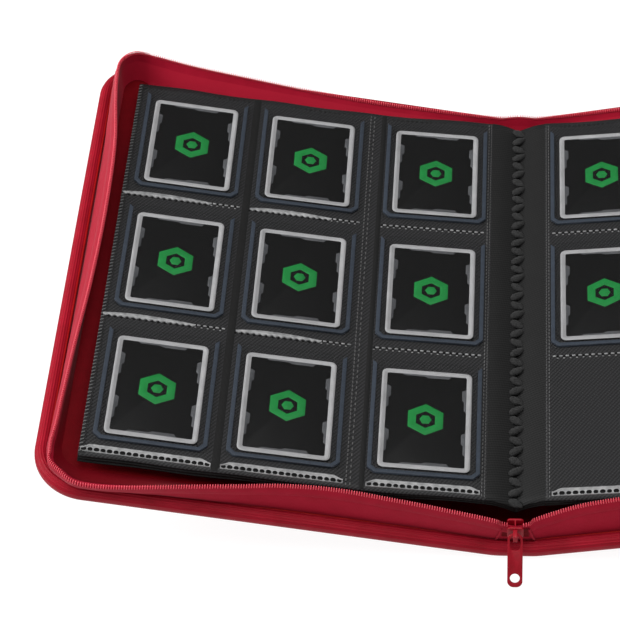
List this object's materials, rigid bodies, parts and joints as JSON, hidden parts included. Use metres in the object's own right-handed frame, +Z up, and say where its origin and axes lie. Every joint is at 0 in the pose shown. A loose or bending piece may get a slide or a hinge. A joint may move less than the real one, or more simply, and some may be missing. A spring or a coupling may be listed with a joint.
{
  "type": "zip-around card album",
  "caption": "Zip-around album lying open in a shallow V, with bound pocket leaves that hold trading cards in rigid sleeves.",
  "frame": {"origin": "on the spine's flat underside, on the surface the album stands on, below the middle of the leaves", "axes": "+Z up, +Y towards the far end of the spine (top of the pages), +X towards the right-hand page"},
  "size_m": [0.6502, 0.4522, 0.0985],
  "materials": {
    "case_skin": "fine-grained synthetic leather, satin",
    "rim": "fine-grained synthetic leather, satin",
    "piping": "folded synthetic leather, satin",
    "board": "stiff board",
    "foam": "closed-cell foam",
    "lining": "smooth woven lining",
    "gusset_cloth": "fine ribbed nylon",
    "zip_tape": "woven tape",
    "zip_coil": "nylon coil",
    "slider_metal": "painted die-cast zinc, satin",
    "leaf_cloth": "dark twill",
    "lace": "matt cord",
    "pocket_film": "clear soft film",
    "sleeve_plastic": "clear rigid plastic",
    "card": "printed card, satin"
  },
  "bodies": {
    "spine": {"spine_skin": "case_skin", "spine_padding": "foam", "spine_lining": "lining", "spine_end_rims": "rim", "left_hinge_crease": "case_skin", "right_hinge_crease": "case_skin", "spine_gusset_near": "gusset_cloth", "spine_gusset_far": "gusset_cloth", "spine_zip_coils": "zip_coil", "zip_end_stop": "slider_metal", "binding_block": "leaf_cloth", "binding_lace": "lace", "left_gutter_strips": "leaf_cloth", "right_gutter_strips": "leaf_cloth"},
    "left_cover": {"left_cover_skin": "case_skin", "left_cover_board": "board", "left_cover_padding": "foam", "left_cover_lining": "lining", "left_cover_rim": "rim", "left_rim_piping": "piping", "left_gusset": "gusset_cloth", "left_zip_tape": "zip_tape", "left_zip_coil": "zip_coil"},
    "left_lower_leaves": {"left_leaf_2_backing": "leaf_cloth", "left_leaf_2_pockets": "pocket_film", "left_leaf_3_backing": "leaf_cloth", "left_leaf_3_pockets": "pocket_film"},
    "left_top_leaf": {"left_leaf_1_backing": "leaf_cloth", "left_leaf_1_pockets": "pocket_film", "left_inner_sleeves": "sleeve_plastic", "left_inner_cards": "card", "left_middle_sleeves": "sleeve_plastic", "left_middle_cards": "card", "left_outer_sleeves": "sleeve_plastic", "left_outer_cards": "card"},
    "right_cover": {"right_cover_skin": "case_skin", "right_cover_board": "board", "right_cover_padding": "foam", "right_cover_lining": "lining", "right_cover_rim": "rim", "right_rim_piping": "piping", "right_gusset": "gusset_cloth", "right_zip_tape": "zip_tape", "right_zip_coil": "zip_coil"},
    "right_lower_leaves": {"right_leaf_2_backing": "leaf_cloth", "right_leaf_2_pockets": "pocket_film", "right_leaf_3_backing": "leaf_cloth", "right_leaf_3_pockets": "pocket_film"},
    "right_top_leaf": {"right_leaf_1_backing": "leaf_cloth", "right_leaf_1_pockets": "pocket_film", "right_inner_sleeves": "sleeve_plastic", "right_inner_cards": "card", "right_middle_sleeves": "sleeve_plastic", "right_middle_cards": "card", "right_outer_sleeves": "sleeve_plastic", "right_outer_cards": "card"},
    "slider": {"slider_body": "slider_metal", "slider_bridge": "slider_metal"},
    "pull_tab": {"pull_tab": "slider_metal"}
  },
  "joints": [
    {"name": "left_cover_hinge", "type": "hinge", "parent": "spine", "child": "left_cover", "pos_m": [-0.03756, 0, 0.00857], "axis": [0, 1, 0], "range_deg": [-10.8, 79.2]},
    {"name": "left_leaves_follow", "type": "hinge", "parent": "spine", "child": "left_lower_leaves", "pos_m": [-0.032, 0, 0.017], "axis": [0, 1, 0], "range_deg": [-10.8, 79.2], "deforming": ["left_gutter_strips"]},
    {"name": "left_leaf_turn", "type": "hinge", "parent": "left_lower_leaves", "child": "left_top_leaf", "pos_m": [-0.0196, 0, 0.0412], "axis": [0, -1, 0], "range_deg": [-82, 0]},
    {"name": "right_cover_hinge", "type": "hinge", "parent": "spine", "child": "right_cover", "pos_m": [0.03756, 0, 0.00857], "axis": [0, -1, 0], "range_deg": [-10.8, 79.2]},
    {"name": "right_leaves_follow", "type": "hinge", "parent": "spine", "child": "right_lower_leaves", "pos_m": [0.032, 0, 0.017], "axis": [0, -1, 0], "range_deg": [-10.8, 79.2], "deforming": ["right_gutter_strips"]},
    {"name": "right_leaf_turn", "type": "hinge", "parent": "right_lower_leaves", "child": "right_top_leaf", "pos_m": [0.0196, 0, 0.0412], "axis": [0, 1, 0], "range_deg": [-82, 0]},
    {"name": "slider_travel", "type": "slide", "parent": "spine", "child": "slider", "axis": [0, 0, 1], "range_m": [0, 0.012]},
    {"name": "pull_tab_swing", "type": "hinge", "parent": "slider", "child": "pull_tab", "pos_m": [0, -0.2052, 0.0312], "axis": [-1, 0, 0], "range_deg": [0, 134]}
  ],
  "couplings": [
    {"joint": "left_leaves_follow", "follows": "left_cover_hinge", "ratio": 1},
    {"joint": "right_leaves_follow", "follows": "right_cover_hinge", "ratio": 1}
  ]
}
